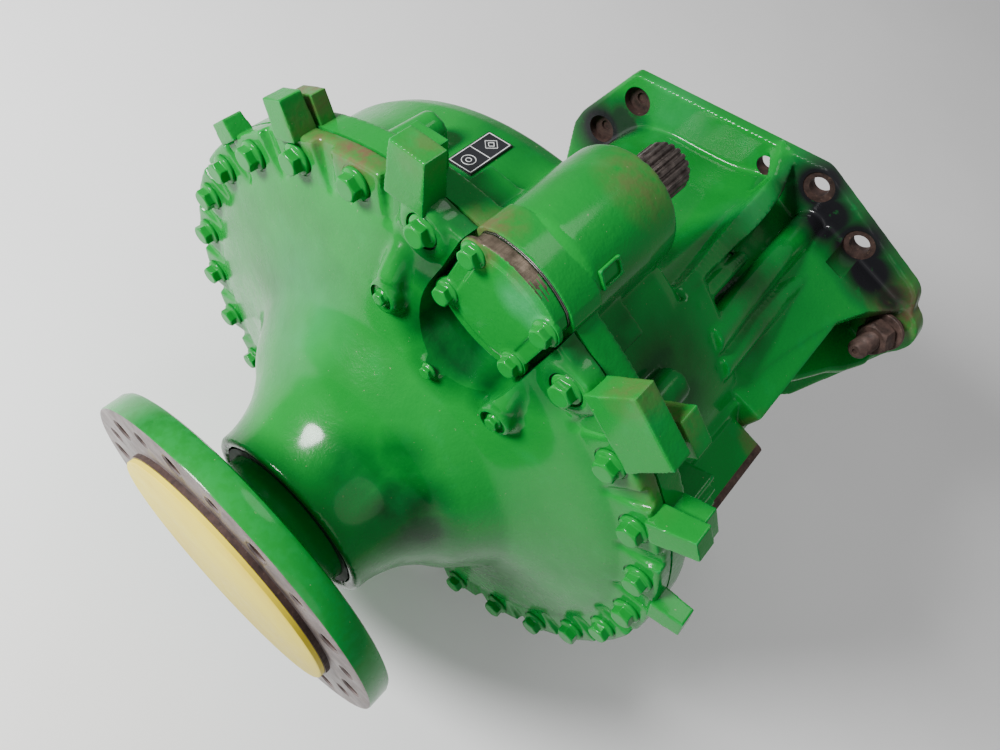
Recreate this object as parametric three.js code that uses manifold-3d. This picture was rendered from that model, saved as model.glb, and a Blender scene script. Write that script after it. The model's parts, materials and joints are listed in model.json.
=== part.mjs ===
// Parallel-shaft final drive: splined input pinion, bull gear, wheel flange.
// Millimetres. +Y runs from the wheel flange (front, -Y) to the mounting plate (back face at y = 0),
// +Z from the output axis (x = 0, z = 0) to the pinion axis, +X to the stud side.
import * as THREE from 'three';
import { mergeVertices } from 'three/addons/utils/BufferGeometryUtils.js';
import Module from 'manifold-3d';

const wasm = await Module();
wasm.setup();

// ---- driving dimensions -------------------------------------------------------------------
const MODULE = 7;                  // gear module
const TEETH_PINION = 13;
const TEETH_BULL = 74;
const PRESSURE = 25 * Math.PI / 180;
const CENTRES = MODULE * (TEETH_PINION + TEETH_BULL) / 2;   // 304.5 shaft distance
const GAP = 0.3;                   // running / assembly gap between separate pieces

const PLATE = 16;                  // mounting plate thickness
const JOINT_Y = -466;              // front face of the housing flange
const HOUSING_FLANGE_BACK = -438;
const COVER_SEAT_Y = -488;         // bolt seats on the cover flange
const RIM_R = 341;                 // outer radius of both flanges
const BOLT_CIRCLE = 320;
const FIRST_BOLT = 15.2;           // degrees from +Z
const BOLT_STEP = 13.733;
const BOLT_HOLE = 7.8;

const DRUM_R = 304;
const CAVITY_R = 276;
const CAVITY_BACK = -336;
const BOSS_SHAPE = [54, 58, 92];   // pinion boss: half width, half height, radius of its long sides
const CAP_SHAPE = [48, 57, 86];
const BOSS_FACE_Y = -471;
const CAP_FACE_Y = -488;
const NOTCH_HALF = 61;             // opening of the cover round the cap
const NOTCH_LOW = 222;
const NOSE_R = 61;
const NOSE_END_Y = -318;

const FLANGE_FACE_Y = -721;        // wheel mounting face
const FLANGE_T = 28;
const FLANGE_R = 193;
const PILOT_R = 140.6;
const PILOT_Y = -733;
const STUD_CIRCLE = 167.5;
const HUB_R = 80;
const NECK_END_Y = -652;

const SHAFT_R_OUT = 55;            // output shaft at the neck bearing
const SHAFT_R_IN = 45;             // output shaft at the wall bearing
const GEAR_Y0 = -445;
const GEAR_Y1 = -355;

// ---- paint and metal ----------------------------------------------------------------------
const material = (name, color, roughness, metalness) => {
  const m = new THREE.MeshStandardMaterial({ color, roughness, metalness });
  m.name = name;
  return m;
};
const GREEN = material('green_paint', 0x129a38, 0.32, 0.0);
const YELLOW = material('yellow_paint', 0xf4ee8c, 0.5, 0.0);
const STEEL = material('machined_steel', 0xa9a9ac, 0.35, 0.9);
const RUST = material('rusty_steel', 0x59403a, 0.8, 0.5);
const BEARING = material('bearing_steel', 0xc4c7cb, 0.22, 0.95);
const RUBBER = material('seal_rubber', 0x17181a, 0.7, 0.0);
const PAPER = material('gasket_paper', 0x4a3d30, 0.85, 0.0);
const LABEL = material('label_black', 0x14161a, 0.4, 0.0);

// ---- solid helpers ------------------------------------------------------------------------
function solid(geometry) {
  const g = geometry.index ? geometry.toNonIndexed() : geometry;
  g.deleteAttribute('normal');
  g.deleteAttribute('uv');
  const merged = mergeVertices(g, 1e-4);
  const p = merged.attributes.position;
  const index = [];
  for (let i = 0; i < merged.index.count; i += 3) {
    const [a, b, c] = [0, 1, 2].map((k) => merged.index.getX(i + k));
    if (a !== b && b !== c && a !== c) index.push([a, b, c]);
  }
  const at = (i) => new THREE.Vector3().fromBufferAttribute(p, i);
  const volume = index.reduce((s, [a, b, c]) => s + at(a).dot(at(b).cross(at(c))), 0);
  const tri = volume < 0 ? index.map(([a, b, c]) => [a, c, b]) : index;
  return new wasm.Manifold(new wasm.Mesh({
    numProp: 3, vertProperties: new Float32Array(p.array), triVerts: new Uint32Array(tri.flat()),
  }));
}
const lathe = (pts, segments = 48) =>
  solid(new THREE.LatheGeometry(pts.map(([r, y]) => new THREE.Vector2(r, y)), segments));
const ring = (r0, r1, y0, y1, segments = 48) =>
  lathe([[r0, y0], [r1, y0], [r1, y1], [r0, y1], [r0, y0]], segments);
const rod = (r, y0, y1, x = 0, z = 0, segments = 24) =>
  solid(new THREE.CylinderGeometry(r, r, y1 - y0, segments).translate(x, (y0 + y1) / 2, z));
const block = (x0, x1, y0, y1, z0, z1) =>
  solid(new THREE.BoxGeometry(x1 - x0, y1 - y0, z1 - z0)
    .translate((x0 + x1) / 2, (y0 + y1) / 2, (z0 + z1) / 2));
const add = (...s) => s.reduce((a, b) => a.add(b));
const cut = (base, ...s) => s.reduce((a, b) => a.subtract(b), base);
// outline [x, z] pulled along Y from y0 to y1
function prism(outline, y0, y1) {
  const shape = new THREE.Shape(outline.map(([x, z]) => new THREE.Vector2(x, z)));
  const g = new THREE.ExtrudeGeometry(shape, { depth: y1 - y0, bevelEnabled: false });
  return solid(g.rotateX(Math.PI / 2).translate(0, y1, 0));
}
// outline [x, y] pulled along Z from z0 to z1
function slab(outline, z0, z1) {
  const shape = new THREE.Shape(outline.map(([x, y]) => new THREE.Vector2(x, y)));
  return solid(new THREE.ExtrudeGeometry(shape, { depth: z1 - z0, bevelEnabled: false })
    .translate(0, 0, z0));
}
// round bar between two points
function bar(p, q, r, segments = 10) {
  const [a, b] = [p, q].map((v) => new THREE.Vector3(...v));
  const along = b.clone().sub(a);
  const turn = new THREE.Quaternion()
    .setFromUnitVectors(new THREE.Vector3(0, 1, 0), along.clone().normalize());
  const middle = a.clone().add(b).multiplyScalar(0.5);
  return solid(new THREE.CylinderGeometry(r, r, along.length(), segments)
    .applyQuaternion(turn).translate(middle.x, middle.y, middle.z));
}
// block with flat ends at x = +-half and bulging long sides, centred on the pinion axis
function barrel([half, tall, arc], y0, y1) {
  const steps = 8;
  const side = Array.from({ length: steps + 1 }, (_, i) => {
    const x = -half + 2 * half * i / steps;
    return [x, tall - arc + Math.sqrt(arc * arc - x * x)];
  });
  const outline = [...side, ...side.map(([x, z]) => [-x, -z])];
  return prism(outline.map(([x, z]) => [x, CENTRES + z]), y0, y1);
}
const polar = (r, deg) => [r * Math.sin(deg * Math.PI / 180), r * Math.cos(deg * Math.PI / 180)];
const regular = (r, n, x = 0, z = 0, turn = 0) =>
  Array.from({ length: n }, (_, i) => {
    const [a, b] = polar(r, turn + 360 * i / n);
    return [x + a, z + b];
  });

// ---- gear outlines ------------------------------------------------------------------------
function gearOutline(teeth, thinning, turn) {
  const pitch = MODULE * teeth / 2;
  const base = pitch * Math.cos(PRESSURE);
  const tip = pitch + MODULE;
  const root = pitch - 1.3 * MODULE;
  const inv = (a) => Math.tan(a) - a;
  const half = (r) => {
    const a = Math.acos(Math.min(1, base / Math.max(r, base)));
    return (Math.PI * MODULE / 2 - thinning) / (2 * pitch) + inv(PRESSURE) - inv(a);
  };
  const start = Math.max(base, root + 0.4);
  const radii = base < root ? [root, tip] : [root, start, (start + tip) / 2, tip];
  const pts = [];
  for (let i = 0; i < teeth; i += 1) {
    const mid = turn + 2 * Math.PI * i / teeth;
    const put = (r, a) => pts.push([r * Math.sin(mid + a), r * Math.cos(mid + a)]);
    radii.forEach((r) => put(r, -half(r)));
    [...radii].reverse().forEach((r) => put(r, half(r)));
  }
  return pts;
}
function splineOutline(teeth, root, tip) {
  return Array.from({ length: teeth }, (_, i) => {
    const at = (r, f) => polar(r, 360 * (i + f) / teeth);
    return [at(root, 0), at(root, 0.3), at(tip, 0.42), at(tip, 0.88)];
  }).flat();
}
const shift = (pts, x, z) => pts.map(([a, b]) => [a + x, b + z]);

// ---- fasteners ----------------------------------------------------------------------------
// hex flange bolt standing on a seat, head towards -Y
function flangeBolt(x, z, seat, across, head, shank, length, turn) {
  const hex = prism(regular(across / Math.sqrt(3), 6, x, z, turn), seat - head, seat - 3.2);
  const washer = rod(across * 0.68, seat - 3.4, seat - GAP, x, z, 8);
  const stem = rod(shank, seat - 1, seat + length, x, z, 6);
  return add(hex, washer, stem);
}

// ---- gear housing -------------------------------------------------------------------------
const boltAngles = [];
for (let k = 0; k < 12; k += 1) {
  boltAngles.push(FIRST_BOLT + k * BOLT_STEP, -(FIRST_BOLT + k * BOLT_STEP));
}
boltAngles.push(180);
const boltPlaces = boltAngles.map((deg) => polar(BOLT_CIRCLE, deg));

const plateOutline = [
  [-126, 167], [-152, 62], [-152, 36], [-128, -31], [-118, -118], [-30, -196], [190, -200],
  [300, -120], [340, -10], [342, 156], [345, 184], [312, 226], [297, 246], [285, 252], [116, 271],
];
const deepHoles = [[-101, 141], [-116, 66]];
const spotHoles = [[126, 249], [208, 237], [-92, -92], [-8, -172], [168, -172], [312, -52]];
const bareHole = [67, 217];
const STUD_BOSS = [306, 190];
const STUD_FOOT = [316, -4, 198];
const STUD_END = [294, -96, 198];

// closed section lists (x, z) of the bell, from the drum to the plate
const bellSections = [
  [-300, [[-215, 150], [-140, 205], [-84, 228], [-45, 222], [0, 211], [50, 224], [84, 256],
    [112, 252], [150, 248], [182, 234], [240, 190], [286, 80], [286, -60], [225, -185],
    [110, -262], [-20, -280], [-150, -235], [-245, -130], [-268, 20]]],
  [-225, [[-172, 110], [-128, 136], [-84, 178], [-45, 188], [0, 188], [48, 204], [82, 242],
    [112, 234], [148, 230], [180, 218], [222, 172], [268, 84], [270, -50], [214, -160],
    [108, -222], [-20, -234], [-122, -188], [-188, -106], [-205, 18]]],
  [-120, [[-116, 56], [-98, 90], [-82, 124], [-44, 158], [0, 172], [46, 190], [80, 222],
    [108, 210], [146, 208], [180, 200], [222, 170], [252, 92], [262, -40], [214, -136],
    [110, -184], [-20, -190], [-98, -146], [-118, -84], [-122, 10]]],
  [-11, [[-96, 40], [-90, 76], [-76, 116], [-43, 143], [0, 162], [42, 182], [78, 206],
    [104, 200], [144, 196], [182, 194], [226, 168], [250, 110], [256, -40], [212, -130],
    [112, -172], [-18, -180], [-86, -136], [-104, -80], [-104, 8]]],
];
// the bell's hollow, open at the back
const bellHollow = [[-205, 1, 0.78], [-120, 2, 0.82], [1, 3, 0.82]].map(([y, i, share]) =>
  [y, bellSections[i][1].map(([x, z]) => [55 + (x - 55) * share, z * share])]);
// wall and ribs along the bell's top: points and radius
const runners = [
  [11, [92, -305, 268], [94, -204, 251], [94, -80, 229], [86, -30, 232], [76, -6, 244]],
  [8, [114, -305, 274], [119, -176, 240]],
  [17, [150, -305, 256], [150, -120, 226], [156, -6, 204]],
  [14, [177, -305, 240], [180, -225, 230], [204, -6, 200]],
];
const upperWeb = [[170, -6], [306, -6], [300, -22], [270, -64], [243, -128], [226, -198],
  [214, -262], [170, -280]];
const lowerWeb = [[180, -6], [338, -6], [334, -40], [318, -75], [303, -95], [281, -139],
  [267, -164], [258, -230], [180, -280]];

function loft(sections) {
  const n = sections[0][1].length;
  const dense = 2;
  const rows = sections.map(([y, pts]) => {
    const curve = new THREE.CatmullRomCurve3(
      pts.map(([x, z]) => new THREE.Vector3(x, y, z)), true, 'centripetal');
    return Array.from({ length: n * dense }, (_, i) => curve.getPoint(i / (n * dense)));
  });
  const m = n * dense;
  const verts = rows.flat().flatMap((v) => [v.x, v.y, v.z]);
  const tri = [];
  for (let s = 0; s + 1 < rows.length; s += 1) {
    for (let i = 0; i < m; i += 1) {
      const [a, b] = [s * m + i, s * m + (i + 1) % m];
      tri.push(a, b, a + m, b, b + m, a + m);
    }
  }
  const caps = [0, rows.length - 1].map((s) => {
    const flat = rows[s].map((v) => new THREE.Vector2(v.x, v.z));
    return THREE.ShapeUtils.triangulateShape(flat, []).map((t) => t.map((i) => s * m + i));
  });
  const sign = (t) => {
    const p = t.map((i) => rows.flat()[i]);
    return (p[1].x - p[0].x) * (p[2].z - p[0].z) - (p[1].z - p[0].z) * (p[2].x - p[0].x);
  };
  const area = rows[0].reduce((s, v, i) => {
    const w = rows[0][(i + 1) % m];
    return s + v.x * w.z - w.x * v.z;
  }, 0);
  const wind = (list, want) => list.forEach((t) =>
    tri.push(...(Math.sign(sign(t)) === want ? t : [t[0], t[2], t[1]])));
  wind(caps[0], -Math.sign(area));
  wind(caps[1], Math.sign(area));
  const g = new THREE.BufferGeometry();
  g.setAttribute('position', new THREE.BufferAttribute(new Float32Array(verts), 3));
  g.setIndex(tri);
  return solid(g);
}

function radialBlock(r0, r1, deg, width, y0, y1) {
  const g = new THREE.BoxGeometry(width, y1 - y0, r1 - r0)
    .translate(0, (y0 + y1) / 2, (r0 + r1) / 2)
    .rotateY(deg * Math.PI / 180);
  return solid(g);
}

function makeHousing() {
  const drum = lathe([
    [0, JOINT_Y], [RIM_R, JOINT_Y], [RIM_R, HOUSING_FLANGE_BACK], [DRUM_R, HOUSING_FLANGE_BACK + 4],
    [DRUM_R, -332], [280, -300], [250, -290], [0, -290],
  ], 40);
  const drumSide = ring(180, DRUM_R, -360, -282, 40)
    .intersect(prism([[0, 0], polar(520, 20), polar(520, 66), polar(520, 112)], -400, -200));
  const boss = barrel(BOSS_SHAPE, BOSS_FACE_Y, JOINT_Y + 8);
  const pinionBody = lathe([
    [0, JOINT_Y], [64, JOINT_Y], [64, -436], [62, -431], [62, -360], [NOSE_R, NOSE_END_Y],
    [0, NOSE_END_Y],
  ], 28).translate(0, 0, CENTRES);
  const saddle = [-12, 0, 12].map((deg) => radialBlock(250, 326, deg, 58, JOINT_Y + 2, -397));
  const bell = loft(bellSections);
  const plate = prism(plateOutline, -PLATE, 0);
  const studBoss = rod(38, -PLATE - 5, 0, ...STUD_BOSS, 18);
  const rails = runners.flatMap(([r, ...points]) =>
    points.slice(1).map((q, i) => bar(points[i], q, r)));
  const webWall = block(180, 250, -290, -6, 140, 222);
  const webs = [slab(upperWeb, 202, 224), slab(lowerWeb, 139, 151)];
  const padFoot = radialBlock(280, 308, 51.5, 64, -400, -217);
  const pad = block(236, 276, -396, -298, 62, 206);
  const castBlock = radialBlock(290, 339, 48, 44, -440, -392);
  const sideBoss = [-31, 28].flatMap((deg) => [
    rod(18, -448, -384, ...polar(316, deg), 12), radialBlock(284, 319, deg, 32, -440, -388)]);
  const lugs = [[27, 386, 42], [-43, 367, 34], [-22, 366, 38], [44, 372, 34]]
    .map(([deg, r, w]) => radialBlock(296, r, deg, w, -464, -438));

  let body = add(drum, drumSide, boss, pinionBody, bell, plate, studBoss, webWall, padFoot, pad,
    castBlock, ...saddle, ...rails, ...webs, ...sideBoss, ...lugs);

  const gearRoom = cut(rod(CAVITY_R, -520, CAVITY_BACK, 0, 0, 40),
    block(-78, 78, -530, -452, CENTRES - 108, 450));
  const pinionRoom = rod(55, -453, -350, 0, CENTRES, 20);
  const frontBore = rod(43, -530, -440, 0, CENTRES, 20);
  const rearBore = rod(44, -351, -325, 0, CENTRES, 20);
  const sealBore = rod(36.9, -326, NOSE_END_Y + 1, 0, CENTRES, 20);
  const wallBore = rod(76, -350, -292, 0, 0, 24);
  const nutRoom = rod(64, -300, -236, 0, 0, 20);
  const sleeveRoom = rod(60, NOSE_END_Y, -215, 0, CENTRES, 20);
  const holes = boltPlaces.map(([x, z]) => rod(BOLT_HOLE, JOINT_Y - 1, -430, x, z, 6));
  const capHoles = capBoltPlaces.map(([x, z]) => rod(6.5, BOSS_FACE_Y - 1, -458, x, z, 6));
  const bores = [
    ...deepHoles.flatMap(([x, z]) => [rod(7, -24, 1, x, z, 8), rod(19, -46, -5, x, z, 12)]),
    ...spotHoles.flatMap(([x, z]) => [rod(12, -46, 1, x, z, 10),
      rod(19, -46, -PLATE + 1.5, x, z, 12)]),
    rod(12, -24, 1, ...bareHole, 10)];
  const studLine = new THREE.Vector3(...STUD_END).sub(new THREE.Vector3(...STUD_FOOT));
  const onLine = (share) => STUD_FOOT.map((v, i) => v + studLine.getComponent(i) * share);
  const studHole = bar(onLine(-0.2), onLine(0.4), 15, 14);
  const nutSpace = bar(onLine(0.31), onLine(1.4), 26, 16);
  const dowels = dowelPlaces.map(([x, z]) => rod(6.5, JOINT_Y - 1, -452, x, z, 8));
  const backHollow = cut(loft(bellHollow), rod(46, -300, 2, 0, 0, 16),
    block(-200, 300, -300, 2, -7, 7), block(-7, 7, -300, 2, -300, 300),
    block(118, 132, -300, 2, -300, 300));
  body = cut(body, gearRoom, pinionRoom, frontBore, rearBore, sealBore, wallBore, nutRoom,
    sleeveRoom, nutSpace, ...holes, ...capHoles, ...bores, studHole, ...dowels, backHollow);
  return body;
}

// ---- front cover --------------------------------------------------------------------------
const coverOuter = [
  [103, NECK_END_Y], [103, -642], [110.5, -614], [123, -592], [155, -561], [195, -520],
  [256, -501.5], [302, COVER_SEAT_Y],
];
const coverInner = [
  [300, JOINT_Y - 1], [276, JOINT_Y - 0.8], [270, -480], [208, -494], [146, -543], [112, -566],
];
const PLUG_BOSSES = [[-77, 231], [66, 229]];
const SMALL_PLUG = [-5, 209];
const PLUG_SEAT_Y = -515;
const SMALL_PLUG_SEAT_Y = -519;
const COVER_BACK = JOINT_Y - 0.8;

function makeCover() {
  const shell = lathe([
    [90, NECK_END_Y], ...coverOuter, [RIM_R, COVER_SEAT_Y], [RIM_R, COVER_BACK],
    ...coverInner.slice(1), [88, -568], [88, -636], [90, -636], [90, NECK_END_Y],
  ], 40);
  const envelope = lathe([[0, NECK_END_Y], ...coverOuter, [RIM_R, COVER_SEAT_Y],
    [RIM_R, COVER_BACK], [0, COVER_BACK]], 40);
  const notchFoot = NOTCH_LOW + NOTCH_HALF;
  const notch = add(
    block(-NOTCH_HALF, NOTCH_HALF, -600, -400, notchFoot, 450),
    rod(NOTCH_HALF, -600, -400, 0, notchFoot, 24));
  const wall = cut(block(-76, 76, -530, COVER_BACK, CENTRES - 107, 330), notch)
    .intersect(envelope);
  const plugBosses = PLUG_BOSSES.map(([x, z]) => rod(16, PLUG_SEAT_Y, -480, x, z, 14));
  const smallBoss = rod(10, SMALL_PLUG_SEAT_Y, -500, ...SMALL_PLUG, 12);
  const lugs = [[-62, 30, 358], [-43, 29, 374], [-18.5, 42, 388], [22.7, 76, 388], [41, 29, 391],
    [63, 28, 372]].map(([deg, w, r]) => radialBlock(300, r, deg, w, -493, COVER_BACK));
  const body = add(shell, wall, ...plugBosses, smallBoss, ...lugs);

  const seats = boltPlaces.map(([x, z]) => rod(16, -540, COVER_SEAT_Y, x, z, 8));
  const holes = boltPlaces.map(([x, z]) => rod(BOLT_HOLE, -500, -440, x, z, 6));
  const plugHoles = PLUG_BOSSES.map(([x, z]) => rod(6.7, -520, -500, x, z, 6));
  const smallHole = rod(5.7, -530, -505, ...SMALL_PLUG, 6);
  const dowels = dowelPlaces.map(([x, z]) => rod(6.5, -478, -460, x, z, 8));
  return cut(body, notch, ...seats, ...holes, ...plugHoles, smallHole, ...dowels);
}

// ---- everything ---------------------------------------------------------------------------
const capBoltPlaces = [[-40, -33], [-40, 33], [40, -33], [40, 33]].map(([x, z]) => [x, CENTRES + z]);
const dowelPlaces = [polar(BOLT_CIRCLE, FIRST_BOLT + 3.5 * BOLT_STEP),
  polar(BOLT_CIRCLE, -(FIRST_BOLT + 8.5 * BOLT_STEP))];

const group = new THREE.Group();
function put(name, shape, mat) {
  const mesh = shape.simplify(0.02).getMesh();
  const g = new THREE.BufferGeometry();
  const flat = new Float32Array(mesh.numVert * 3);
  for (let i = 0; i < mesh.numVert; i += 1) {
    for (let k = 0; k < 3; k += 1) flat[i * 3 + k] = mesh.vertProperties[i * mesh.numProp + k];
  }
  g.setAttribute('position', new THREE.BufferAttribute(flat, 3));
  g.setIndex(Array.from(mesh.triVerts));
  g.computeVertexNormals();
  const node = new THREE.Mesh(g, mat);
  node.name = name;
  group.add(node);
}

put('gear_housing', makeHousing(), GREEN);
put('front_cover', makeCover(), GREEN);

const jointRing = cut(ring(278, 310, JOINT_Y - 0.6, JOINT_Y - 0.2, 32),
  block(-78, 78, -500, -400, 150, 450));
put('cover_gasket', jointRing, PAPER);

const capHoles = capBoltPlaces.map(([x, z]) => rod(6.5, -530, -450, x, z, 6));
const shim = cut(barrel(CAP_SHAPE, BOSS_FACE_Y - 2.2, BOSS_FACE_Y - GAP),
  rod(43.5, -520, -460, 0, CENTRES, 20), ...capHoles);
put('cap_shim_pack', shim, STEEL);
const capBody = cut(barrel(CAP_SHAPE, CAP_FACE_Y, BOSS_FACE_Y - 2.5),
  rod(42.8, -482, -460, 0, CENTRES, 20), ...capHoles);
put('pinion_cap', capBody, GREEN);

boltPlaces.forEach(([x, z], i) => {
  const turn = boltAngles[i] + (i * 17) % 30;
  const name = `cover_bolt_${String(i + 1).padStart(2, '0')}`;
  put(name, flangeBolt(x, z, COVER_SEAT_Y, 21, 14.4, 7, 50, turn), GREEN);
});
capBoltPlaces.forEach(([x, z], i) => {
  put(`cap_bolt_${i + 1}`,
    flangeBolt(x, z, CAP_FACE_Y, 17, 11.5, 5.8, 27, 11 * i), GREEN);
});
PLUG_BOSSES.forEach(([x, z], i) => {
  put(`cover_plug_${i + 1}`, flangeBolt(x, z, PLUG_SEAT_Y, 12, 7.5, 5.8, 12, 20 * i), GREEN);
});
put('cover_plug_3', flangeBolt(...SMALL_PLUG, SMALL_PLUG_SEAT_Y, 10, 7, 4.8, 10, 10), GREEN);

dowelPlaces.forEach(([x, z], i) =>
  put(`dowel_${i + 1}`, rod(6, -477, -453, x, z, 8), STEEL));

const labelTurn = -22.7;
const [lx, lz] = polar(DRUM_R + 1.2, labelTurn);
put('label_plate', solid(new THREE.BoxGeometry(28, 57, 1.4)
  .rotateY(labelTurn * Math.PI / 180).translate(lx, -374, lz)), LABEL);

// output line
const flangeHoles = Array.from({ length: 20 }, (_, i) => polar(STUD_CIRCLE, 5 + i * 18));
const hubBlank = lathe([
  [0, FLANGE_FACE_Y - 6], [PILOT_R, FLANGE_FACE_Y - 6],
  [PILOT_R, FLANGE_FACE_Y],
  [FLANGE_R - 1.5, FLANGE_FACE_Y], [FLANGE_R, FLANGE_FACE_Y + 1.5],
  [FLANGE_R, FLANGE_FACE_Y + FLANGE_T - 4], [FLANGE_R - 4, FLANGE_FACE_Y + FLANGE_T],
  [HUB_R + 12, FLANGE_FACE_Y + FLANGE_T], [HUB_R, FLANGE_FACE_Y + FLANGE_T + 12], [HUB_R, -638],
  [70, -630], [SHAFT_R_OUT, -624], [SHAFT_R_OUT, -340], [SHAFT_R_IN, -338],
  [SHAFT_R_IN, -258], [0, -258],
], 36);
const hub = cut(hubBlank,
  ...flangeHoles.map(([x, z], i) => rod(i % 2 ? 8 : 11, -760, -680, x, z, i % 2 ? 6 : 8)));
put('output_flange_shaft', hub, GREEN);
put('pilot_disc', rod(PILOT_R - 1.5, PILOT_Y, FLANGE_FACE_Y - 6 - GAP, 0, 0, 36), YELLOW);

const bullBlank = prism(gearOutline(TEETH_BULL, 0.6, 0), GEAR_Y0, GEAR_Y1);
const bull = cut(bullBlank,
  rod(SHAFT_R_OUT + 0.8, -500, -300, 0, 0, 24),
  ring(92, 232, GEAR_Y0 - 5, GEAR_Y0 + 32, 24),
  ring(92, 232, GEAR_Y1 - 32, GEAR_Y1 + 5, 24),
  ...regular(162, 6).map(([x, z]) => rod(26, -500, -300, x, z, 8)));
put('bull_gear', bull, STEEL);
put('gear_spacer', ring(SHAFT_R_OUT + 0.8, 68, GEAR_Y1 + GAP, CAVITY_BACK - 4, 20), STEEL);
put('output_locknut', cut(prism(regular(60, 8), -286, -264), rod(SHAFT_R_IN + 0.8, -300, -250, 0, 0, 20)),
  STEEL);

function bearing(prefix, bore, outer, y0, y1, z, small) {
  const mid = (bore + outer) / 2;
  const lean = small * 3;
  const cone = [[bore + 0.8, y0], [mid + 1 - lean, y0], [mid + 1 + lean, y1], [bore + 0.8, y1],
    [bore + 0.8, y0]];
  const cup = [[mid + 3 - lean, y0 + 1], [outer, y0 + 1], [outer, y1 - 1], [mid + 3 + lean, y1 - 1],
    [mid + 3 - lean, y0 + 1]];
  put(`${prefix}_cup`, lathe(cup, 20).translate(0, 0, z), BEARING);
  put(`${prefix}_cone`, lathe(cone, 20).translate(0, 0, z), BEARING);
}
bearing('output_bearing_front', SHAFT_R_OUT, 87.4, -612, -572, 0, 1);
bearing('output_bearing_rear', SHAFT_R_IN, 75, -332, -296, 0, -1);
bearing('pinion_bearing_front', 25, 42, -481, -453, CENTRES, -1);
bearing('pinion_bearing_rear', 25, 43, -349, -327, CENTRES, 1);
put('output_seal', ring(HUB_R + 0.9, 89.4, -651, -637, 28), RUBBER);
put('pinion_seal', ring(25.8, 36, -324.5, -318.5, 16).translate(0, 0, CENTRES), RUBBER);

// input line
const pinion = add(
  prism(shift(gearOutline(TEETH_PINION, 0.6, 0), 0, CENTRES), GEAR_Y0 - 3, GEAR_Y1 + 3),
  lathe([[0, -481], [25, -481], [25, -451.5], [34, -449.5], [34, -352], [25, -350], [25, -318], [22, -315],
    [22, -238], [0, -238]], 20).translate(0, 0, CENTRES),
  prism(shift(splineOutline(20, 23.5, 26), 0, CENTRES), -276, -236));
put('input_pinion', pinion, STEEL);

// stud hardware on the plate's corner, tilted with the stud's hole
const studTilt = Math.atan2(STUD_END[0] - STUD_FOOT[0], STUD_FOOT[1] - STUD_END[1]) * 180 / Math.PI;
const studLength = Math.hypot(STUD_END[0] - STUD_FOOT[0], STUD_END[1] - STUD_FOOT[1]);
const onStud = (shape) => shape.rotate([0, 0, studTilt]).translate(STUD_FOOT);
const studHoleCut = rod(12 + GAP, -90, -10, 0, 0, 16);
put('mount_stud', onStud(rod(12, -studLength, -2, 0, 0, 16)), RUST);
put('stud_nut', onStud(cut(prism(regular(21, 6), -62, -40), studHoleCut)), RUST);
put('stud_washer', onStud(cut(rod(24, -36, -31, 0, 0, 20), studHoleCut)), RUST);

export default group;
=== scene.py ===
"""Parallel-shaft final drive: castings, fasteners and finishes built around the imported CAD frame.

Lengths in this script are millimetres in the row frame and become metres when a mesh is made.
-Y is the wheel flange side, +Y the mounting plate, +Z runs from the output axis to the pinion axis.
"""
import json
import math

import bmesh
import bpy
import numpy as np
from mathutils import Matrix, Vector


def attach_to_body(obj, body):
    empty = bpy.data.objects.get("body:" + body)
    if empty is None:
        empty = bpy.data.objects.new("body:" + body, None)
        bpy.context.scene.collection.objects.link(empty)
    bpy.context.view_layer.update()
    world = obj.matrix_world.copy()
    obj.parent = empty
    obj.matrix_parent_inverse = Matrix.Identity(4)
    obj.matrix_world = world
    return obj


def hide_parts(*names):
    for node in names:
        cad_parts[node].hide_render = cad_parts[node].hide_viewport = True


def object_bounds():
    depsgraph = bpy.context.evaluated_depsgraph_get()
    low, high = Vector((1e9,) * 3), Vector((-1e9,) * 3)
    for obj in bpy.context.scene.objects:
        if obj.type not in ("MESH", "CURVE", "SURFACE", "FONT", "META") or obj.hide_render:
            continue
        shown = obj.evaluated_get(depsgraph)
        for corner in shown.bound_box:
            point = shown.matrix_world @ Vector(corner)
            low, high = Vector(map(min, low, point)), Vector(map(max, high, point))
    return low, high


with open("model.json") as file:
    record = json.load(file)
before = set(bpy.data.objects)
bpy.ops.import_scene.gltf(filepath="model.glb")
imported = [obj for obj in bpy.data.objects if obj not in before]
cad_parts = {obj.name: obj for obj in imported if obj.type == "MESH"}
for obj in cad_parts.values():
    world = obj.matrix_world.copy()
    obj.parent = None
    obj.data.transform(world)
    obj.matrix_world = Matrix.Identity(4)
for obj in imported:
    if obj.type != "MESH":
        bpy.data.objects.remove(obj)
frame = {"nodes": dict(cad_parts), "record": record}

cad_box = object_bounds()

MM = 0.001
VOXEL = 2.4      # cell of the cast surfaces
FINE_VOXEL = 0.7                        # cell of bolt heads and small castings

# ---- driving dimensions, as in the CAD part ------------------------------------------------
CENTRES = 304.5
JOINT_Y = -466
COVER_SEAT_Y = -488
RIM_R = 341
BOLT_CIRCLE = 320
FIRST_BOLT, BOLT_STEP = 15.2, 13.733
DRUM_R = 304
BOSS_SHAPE = (54, 58, 92)               # half width, half height and arc radius of the pinion boss
CAP_SHAPE = (48, 57, 86)
BOSS_FACE_Y, CAP_FACE_Y = -471, -488
NOTCH_HALF, NOTCH_LOW = 56, 216
NOSE_R, NOSE_END_Y = 61, -318
FLANGE_FACE_Y, FLANGE_T, FLANGE_R = -721, 28, 193
PILOT_R, PILOT_Y = 140.6, -733
STUD_CIRCLE = 167.5
HUB_R, NECK_END_Y = 80, -652
PLATE = 16
STUD_FOOT, STUD_END = (316, -4, 198), (294, -96, 198)
SPLINE_TIP, SPLINE_ROOT, SPLINE_TEETH = 26, 23.5, 20


# ---- mesh helpers --------------------------------------------------------------------------
def polar(r, deg):
    a = math.radians(deg)
    return r * math.sin(a), r * math.cos(a)


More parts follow.
